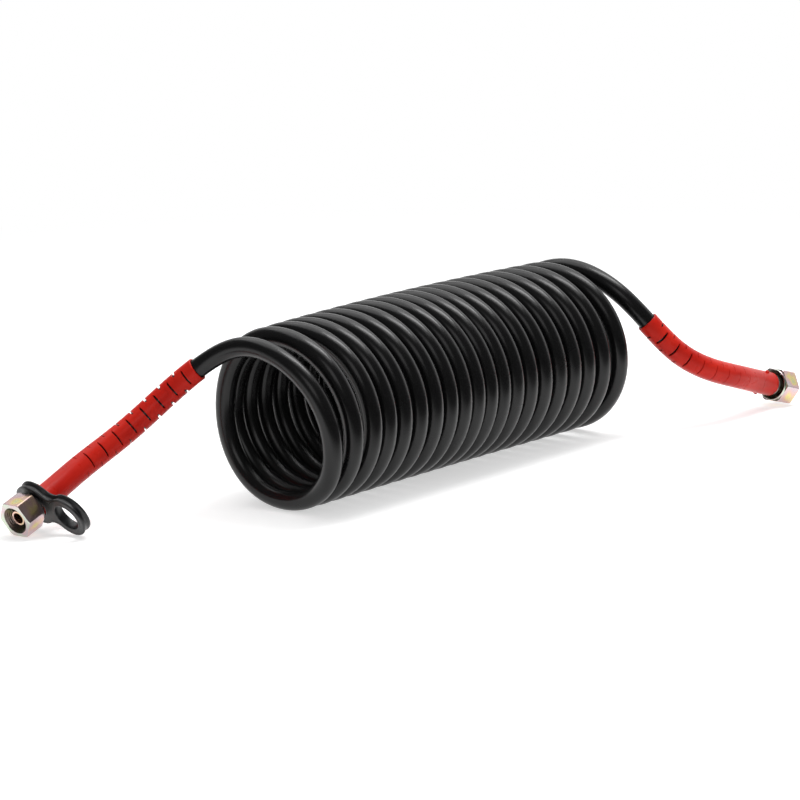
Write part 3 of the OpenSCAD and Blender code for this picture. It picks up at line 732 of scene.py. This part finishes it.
def tab_outline(inset):
    """The tab's outline, drawn in by the inset: ring, fillet, eyelet and the other fillet."""
    ring_r, eye_r, fillet = RING_R - inset, EYE_R - inset, FILLET + inset
    x = (EYELET_REACH ** 2 + (ring_r + fillet) ** 2 - (eye_r + fillet) ** 2) / (2 * EYELET_REACH)
    y = math.sqrt((ring_r + fillet) ** 2 - x * x)
    a, b = math.atan2(y, x), math.atan2(y, x - EYELET_REACH)
    arcs = [((0, 0), ring_r, a, 2 * math.pi - a, RING_POINTS),
            ((x, -y), fillet, math.pi - a, math.pi - b, FILLET_POINTS),
            ((EYELET_REACH, 0), eye_r, -b, b, EYE_POINTS),
            ((x, y), fillet, b + math.pi, a + math.pi, FILLET_POINTS)]
    return [(cx + r * math.cos(g), cy + r * math.sin(g)) for (cx, cy), r, start, stop, count in arcs
            for g in np.linspace(start, stop, count, endpoint=False)]


def eyelet_hole(r):
    around = np.linspace(0, 2 * math.pi, EYELET_POINTS, endpoint=False)
    return [(EYELET_REACH + r * math.cos(g), r * math.sin(g)) for g in around]


def hose_hole(r, z):
    """Where a round hole along the hose cuts the tab at the height z."""
    points = []
    for g in np.linspace(0, 2 * math.pi, HOSE_HOLE_POINTS, endpoint=False):
        slant = math.cos(g) * hose_axis[0] + math.sin(g) * hose_axis[1]
        away = r / math.sqrt(1 - slant * slant)
        points.append((z * hose_axis[0] / hose_axis[2] + away * math.cos(g),
                       z * hose_axis[1] / hose_axis[2] + away * math.sin(g)))
    return points


def loft(bm, loops):
    """Faces between neighbouring loops of points; returns the edges of the first and last loop."""
    rows = [[bm.verts.new((x, y, z)) for x, y in points] for points, z in loops]
    for lower, upper in zip(rows, rows[1:]):
        for k in range(len(lower)):
            n = (k + 1) % len(lower)
            bm.faces.new((lower[k], lower[n], upper[n], upper[k]))
    return [[bm.edges.get((row[k], row[(k + 1) % len(row)])) for k in range(len(row))]
            for row in (rows[0], rows[-1])]


# Up the edge with its channel, and up the wall of a hole: how far each is drawn in or widened, and how
# high that is
rim = [(1.5, 0.15), (1.35, 0.0), (0.30, 0.0), (0.09, 0.09), (0.0, 0.30), (0.0, 1.15),
       (0.12, 1.38), (0.75, 1.75), (1.05, 2.3), (1.15, 3.0)]
hole = [(1.35, 0.15), (1.2, 0.0), (0.3, 0.0), (0.09, 0.09), (0.0, 0.30), (0.0, 3.0)]
for profile in (rim, hole):
    profile += [(inset, TAB_T - z) for inset, z in reversed(profile[:-1])]
bm = bmesh.new()
ends = [loft(bm, [(tab_outline(inset), z) for inset, z in rim]),
        loft(bm, [(hose_hole(TAB_HOLE_R + grow, z), z) for grow, z in hole]),
        loft(bm, [(eyelet_hole(EYELET_R + grow), z) for grow, z in hole])]
for which in (0, 1):
    bmesh.ops.triangle_fill(bm, edges=sum((end[which] for end in ends), []), use_beauty=True)
bmesh.ops.recalc_face_normals(bm, faces=bm.faces)
mesh = bpy.data.meshes.new("tab_moulded")
bm.to_mesh(mesh)
bm.free()
mesh.shade_smooth()
tab = put_in_scene("tab_moulded", mesh)
behind_nut = Matrix.Translation(Vector((0, 0, TAB_FRONT))) @ tab_turn
mesh.transform(near_place @ Matrix.Scale(MM, 4) @ behind_nut)
mark_sharp(tab, 35)
tab_black, nodes, links, shader = new_material("tab_black")
shader.inputs["Base Color"].default_value = (0.007, 0.007, 0.008, 1)
give_grain(nodes, links, shader, 0.4, 0.00012, Grain_Scale=900.0, Wave_Scale=220.0, Grain=0.35,
           Roughness=0.33, Variation=0.3)
tab.data.materials.append(tab_black)
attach(tab, "tab")
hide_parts("tab")

# ---------------------------------------------------------------------------------------------
# Floor: a plain white sheet that keeps a soft shadow. Away from the object it passes into the white
# backdrop, and the strip in front of the object mirrors as the dim front of the room.
FLOOR_HALF, FLOOR_Z = 8, -0.0005
FADE_FROM, FADE_TO = 0.45, 1.1
DIM_FROM, DIM_TO, DIM_LEFT = -0.20, -0.09, 0.08
floor_mesh = bpy.data.meshes.new("floor")
corners = [(-FLOOR_HALF, -FLOOR_HALF), (FLOOR_HALF, -FLOOR_HALF), (FLOOR_HALF, FLOOR_HALF),
           (-FLOOR_HALF, FLOOR_HALF)]
floor_mesh.from_pydata([(x, y, FLOOR_Z) for x, y in corners], [], [(0, 1, 2, 3)])
floor = put_in_scene("floor", floor_mesh)
floor_white, nodes, links, shader = new_material("floor_white")
nodes.remove(shader)
place = add(nodes, "ShaderNodeTexCoord")
path = add(nodes, "ShaderNodeLightPath")
seen = add(nodes, "ShaderNodeMath", operation="MAXIMUM")
links.new(path.outputs["Is Camera Ray"], seen.inputs[0])
links.new(path.outputs["Is Glossy Ray"], seen.inputs[1])
# The sheet takes shadows, and glows a little where it is seen or mirrored
diffuse = add(nodes, "ShaderNodeBsdfDiffuse", {"Color": (0.8, 0.8, 0.8, 1)})
glow = add(nodes, "ShaderNodeEmission", {"Strength": 0.55})
dark = add(nodes, "ShaderNodeEmission", {"Strength": 0.0})
glowing = add(nodes, "ShaderNodeMixShader")
links.new(seen.outputs[0], glowing.inputs["Fac"])
links.new(dark.outputs[0], glowing.inputs[1])
links.new(glow.outputs[0], glowing.inputs[2])
sheet = add(nodes, "ShaderNodeAddShader")
links.new(diffuse.outputs[0], sheet.inputs[0])
links.new(glowing.outputs[0], sheet.inputs[1])
# Backdrop
away = add(nodes, "ShaderNodeVectorMath", operation="LENGTH")
links.new(place.outputs["Object"], away.inputs[0])
fade = add(nodes, "ShaderNodeMapRange", {"From Min": FADE_FROM, "From Max": FADE_TO},
           interpolation_type="SMOOTHSTEP")
links.new(away.outputs["Value"], fade.inputs["Value"])
faded = add(nodes, "ShaderNodeMath", operation="MULTIPLY")
links.new(fade.outputs["Result"], faded.inputs[0])
links.new(seen.outputs[0], faded.inputs[1])
white = add(nodes, "ShaderNodeEmission")
backed = add(nodes, "ShaderNodeMixShader")
links.new(faded.outputs[0], backed.inputs["Fac"])
links.new(sheet.outputs[0], backed.inputs[1])
links.new(white.outputs[0], backed.inputs[2])
# Dim front
front = add(nodes, "ShaderNodeVectorMath", {1: (0.2, 0.98, 0.0)}, operation="DOT_PRODUCT")
links.new(place.outputs["Object"], front.inputs[0])
dim = add(nodes, "ShaderNodeMapRange",
          {"From Min": DIM_FROM, "From Max": DIM_TO, "To Min": DIM_LEFT, "To Max": 1.0},
          interpolation_type="SMOOTHSTEP")
links.new(front.outputs["Value"], dim.inputs["Value"])
keep = add(nodes, "ShaderNodeMix", {"A": 1.0})
links.new(path.outputs["Is Glossy Ray"], keep.inputs["Factor"])
links.new(dim.outputs["Result"], keep.inputs["B"])
kept = add(nodes, "ShaderNodeMixShader")
links.new(keep.outputs["Result"], kept.inputs["Fac"])
links.new(dark.outputs[0], kept.inputs[1])
links.new(backed.outputs[0], kept.inputs[2])
links.new(kept.outputs[0], nodes["Material Output"].inputs["Surface"])
floor.data.materials.append(floor_white)

# ---------------------------------------------------------------------------------------------
# Light: a white room whose shine is brightest behind the object and dim in front of it, a large soft light
# above, a narrow one that draws the streaks on the turns, and a weak one from the front.
ROOM_FROM, ROOM_TO, ROOM_DIM, ROOM_LIGHT = 0.30, 0.90, 0.12, 0.30
world = bpy.data.worlds.new("studio")
bpy.context.scene.world = world
world.use_nodes = True
nodes, links = world.node_tree.nodes, world.node_tree.links
sky = nodes["Background"]
sky.inputs["Color"].default_value = (1, 1, 1, 1)
path = add(nodes, "ShaderNodeLightPath")
way = add(nodes, "ShaderNodeTexCoord")
behind = add(nodes, "ShaderNodeVectorMath", {1: (0.94, 0.32, 0.10)}, operation="DOT_PRODUCT")
links.new(way.outputs["Generated"], behind.inputs[0])
room = add(nodes, "ShaderNodeMapRange",
           {"From Min": ROOM_FROM, "From Max": ROOM_TO, "To Min": ROOM_DIM, "To Max": 1.0},
           interpolation_type="SMOOTHSTEP")
links.new(behind.outputs["Value"], room.inputs["Value"])
mirrored = add(nodes, "ShaderNodeMath", operation="MAXIMUM")
links.new(path.outputs["Is Glossy Ray"], mirrored.inputs[0])
links.new(path.outputs["Is Transmission Ray"], mirrored.inputs[1])
lit = add(nodes, "ShaderNodeMix", {"A": ROOM_LIGHT})
links.new(mirrored.outputs[0], lit.inputs["Factor"])
links.new(room.outputs["Result"], lit.inputs["B"])
strength = add(nodes, "ShaderNodeMix", {"B": 1.0})
links.new(path.outputs["Is Camera Ray"], strength.inputs["Factor"])
links.new(lit.outputs["Result"], strength.inputs["A"])
links.new(strength.outputs["Result"], sky.inputs["Strength"])


def soft_light(name, place, aim, size, power, shine=1.0):
    lamp = bpy.data.lights.new(name, "AREA")
    lamp.shape, lamp.size, lamp.size_y, lamp.energy = "RECTANGLE", size[0], size[1], power
    lamp.specular_factor = shine
    light = put_in_scene(name, lamp)
    light.location = place
    light.rotation_euler = (Vector(aim) - Vector(place)).to_track_quat("-Z", "Y").to_euler()


soft_light("top_light", (0.3, 0.2, 1.6), (0, 0, 0), (2.2, 1.6), 19.0)
soft_light("strip_light", (0.5, -0.2, 1.5), (0, 0, 0), (0.35, 1.1), 9.0)
soft_light("front_light", (-1.4, -0.9, 0.9), (0, 0, 0.05), (0.8, 0.8), 2.5, shine=0.0)
bpy.context.scene.view_settings.view_transform = "Standard"
